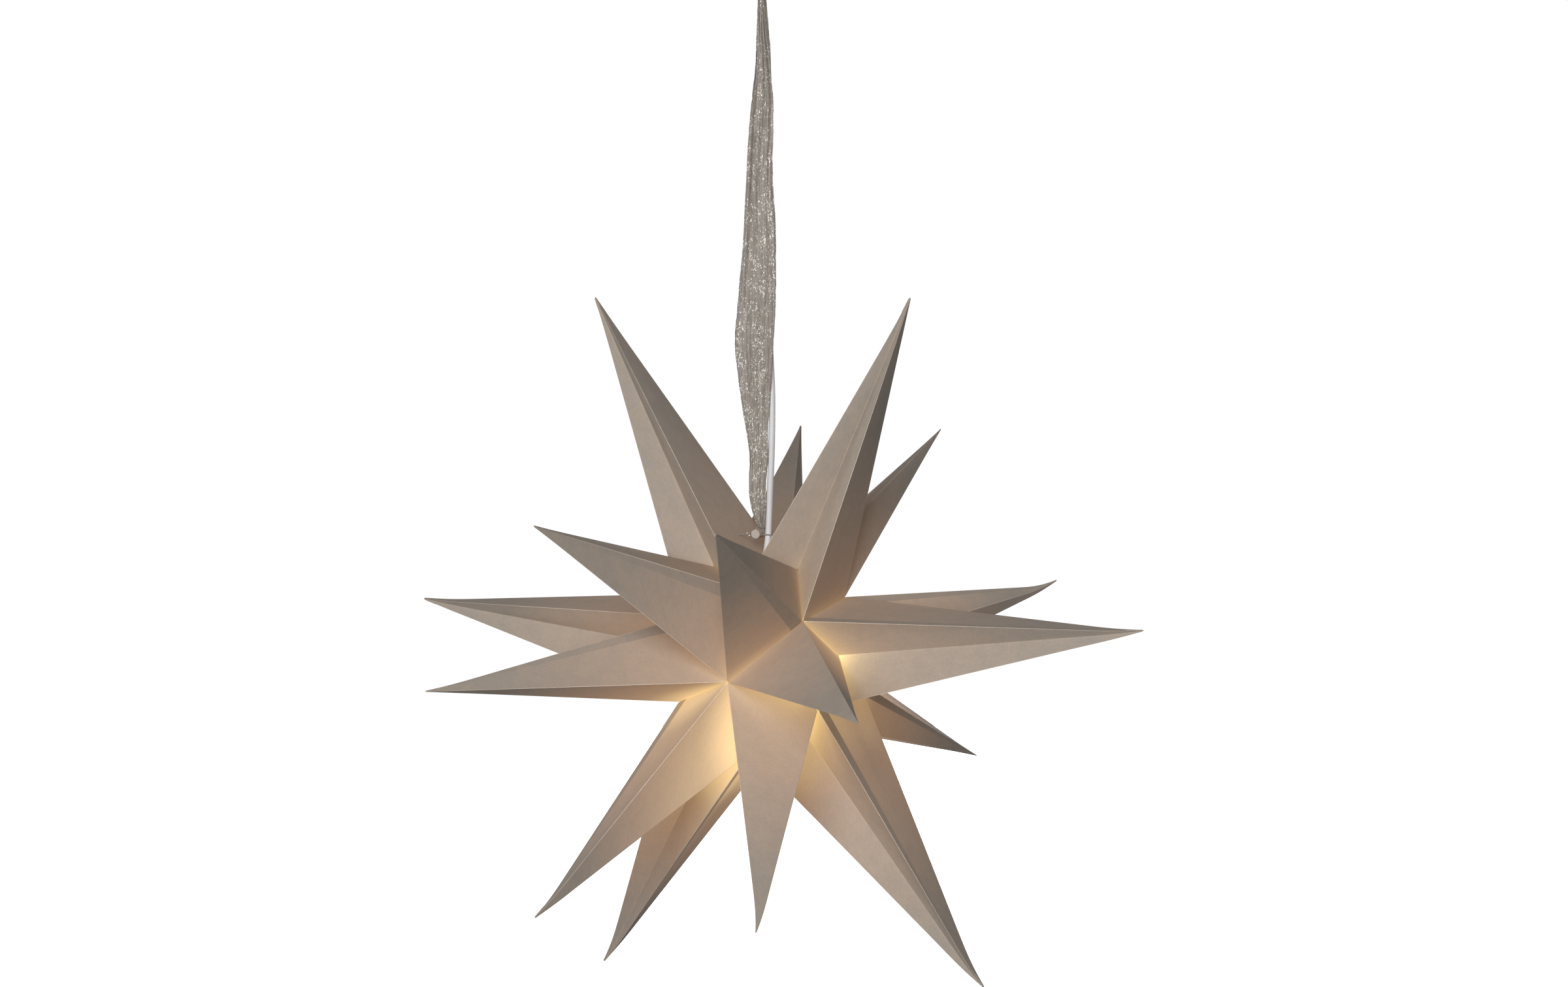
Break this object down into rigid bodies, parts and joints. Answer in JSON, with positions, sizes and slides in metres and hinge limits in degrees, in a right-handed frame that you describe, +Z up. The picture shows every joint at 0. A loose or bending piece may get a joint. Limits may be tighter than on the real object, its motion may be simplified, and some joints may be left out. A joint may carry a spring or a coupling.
{
  "type": "paper star lantern",
  "caption": "Hanging folded card star lantern with long pointed cones around a lamp, on a gathered ribbon and a cord from a ceiling cup.",
  "frame": {"origin": "middle of the ceiling plate's top face, straight above the hook", "axes": "+Z up out of the plate; the star's own axis is level along Y, with the view of the picture from the front (-Y), turned a little to the right"},
  "size_m": [0.5941, 0.4709, 0.8511],
  "materials": {
    "card": "matte",
    "ribbon": "satin",
    "peg": "matte",
    "wire": "satin",
    "holder": "satin",
    "insulator": "satin",
    "contact_metal": "satin",
    "bulb": "satin",
    "cord": "satin",
    "cup": "satin",
    "hook": "satin",
    "terminal_block": "matte"
  },
  "bodies": {
    "root": {"front_point_1": "card", "front_point_2": "card", "front_point_3": "card", "front_point_4": "card", "front_point_5": "card", "front_point_6": "card", "ring_point_1": "card", "ring_point_2": "card", "ring_point_3": "card", "ring_point_4": "card", "ring_point_5": "card", "ring_point_6": "card", "back_point_1": "card", "back_point_2": "card", "back_point_3": "card", "back_point_4": "card", "back_point_5": "card", "back_point_6": "card", "ribbon": "ribbon", "peg": "peg", "tie_wire": "wire", "holder_cap": "holder", "holder_grip": "holder", "holder_shell": "holder", "contact_base": "insulator", "screw_sleeve": "contact_metal", "centre_contact": "contact_metal", "bulb": "bulb", "cord": "cord", "ceiling_plate": "cup", "ceiling_cover": "cup", "ceiling_hook": "hook", "cover_grip": "cup", "terminal_block": "terminal_block"}
  },
  "joints": []
}
